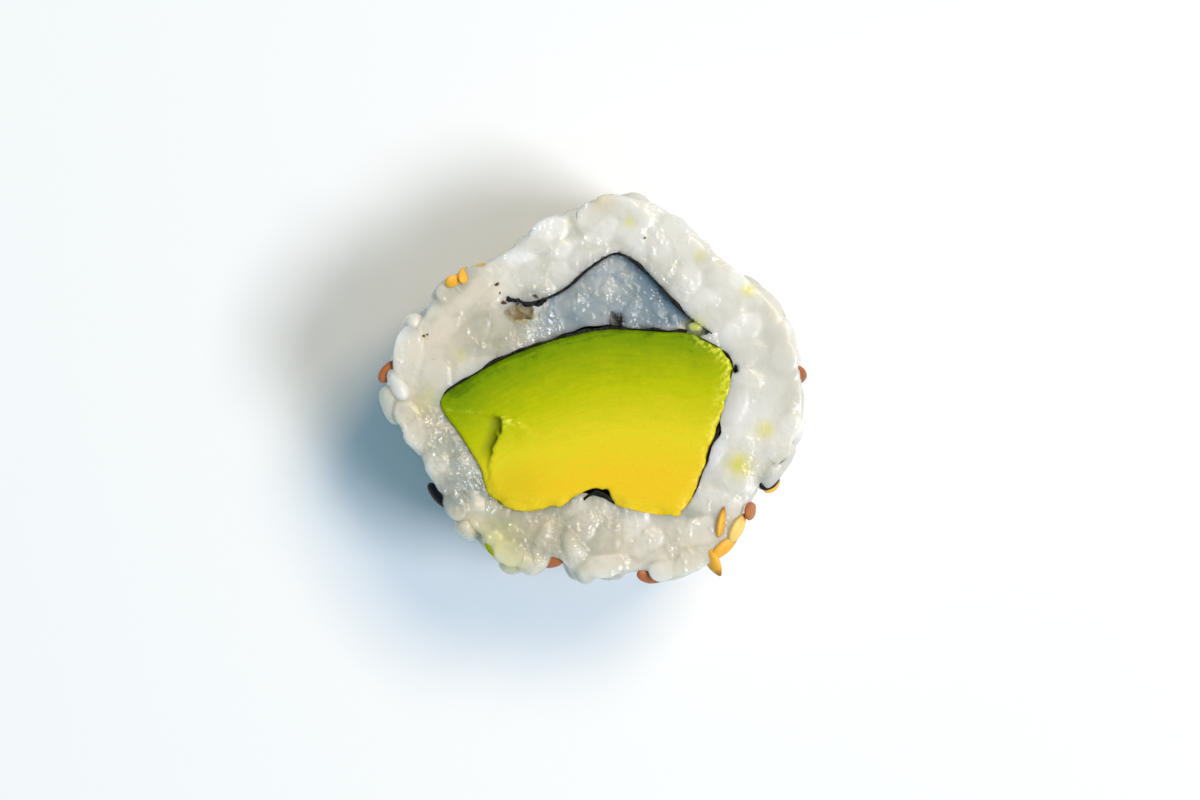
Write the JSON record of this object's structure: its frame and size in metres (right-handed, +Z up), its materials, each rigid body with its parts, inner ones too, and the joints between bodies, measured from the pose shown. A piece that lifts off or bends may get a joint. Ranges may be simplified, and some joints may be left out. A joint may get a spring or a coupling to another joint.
{
  "type": "inside-out avocado sushi roll piece",
  "caption": "Slice of inside-out sushi roll standing on its cut face: avocado wrapped in nori whose free edge laps a wedge of rice, thick outer rice, sesame on the wall.",
  "frame": {"origin": "centre of the bounding box's base, on the lower cut face that the piece stands on", "axes": "+Z up along the roll's axis out of the upper cut face, +X to the right and +Y to the nori's lap as seen from above"},
  "size_m": [0.0448, 0.041, 0.025],
  "materials": {
    "rice": "moist translucent cooked rice grains, soft gloss",
    "nori": "thin black-green seaweed sheet, satin",
    "avocado": "ripe avocado flesh, green at the skin side to yellow, moist",
    "sesame_golden": "toasted golden sesame seed",
    "sesame_brown": "dark toasted brown sesame seed",
    "sesame_black": "black sesame seed"
  },
  "bodies": {
    "root": {"rice": "rice", "nori": "nori", "avocado": "avocado"}
  },
  "joints": []
}
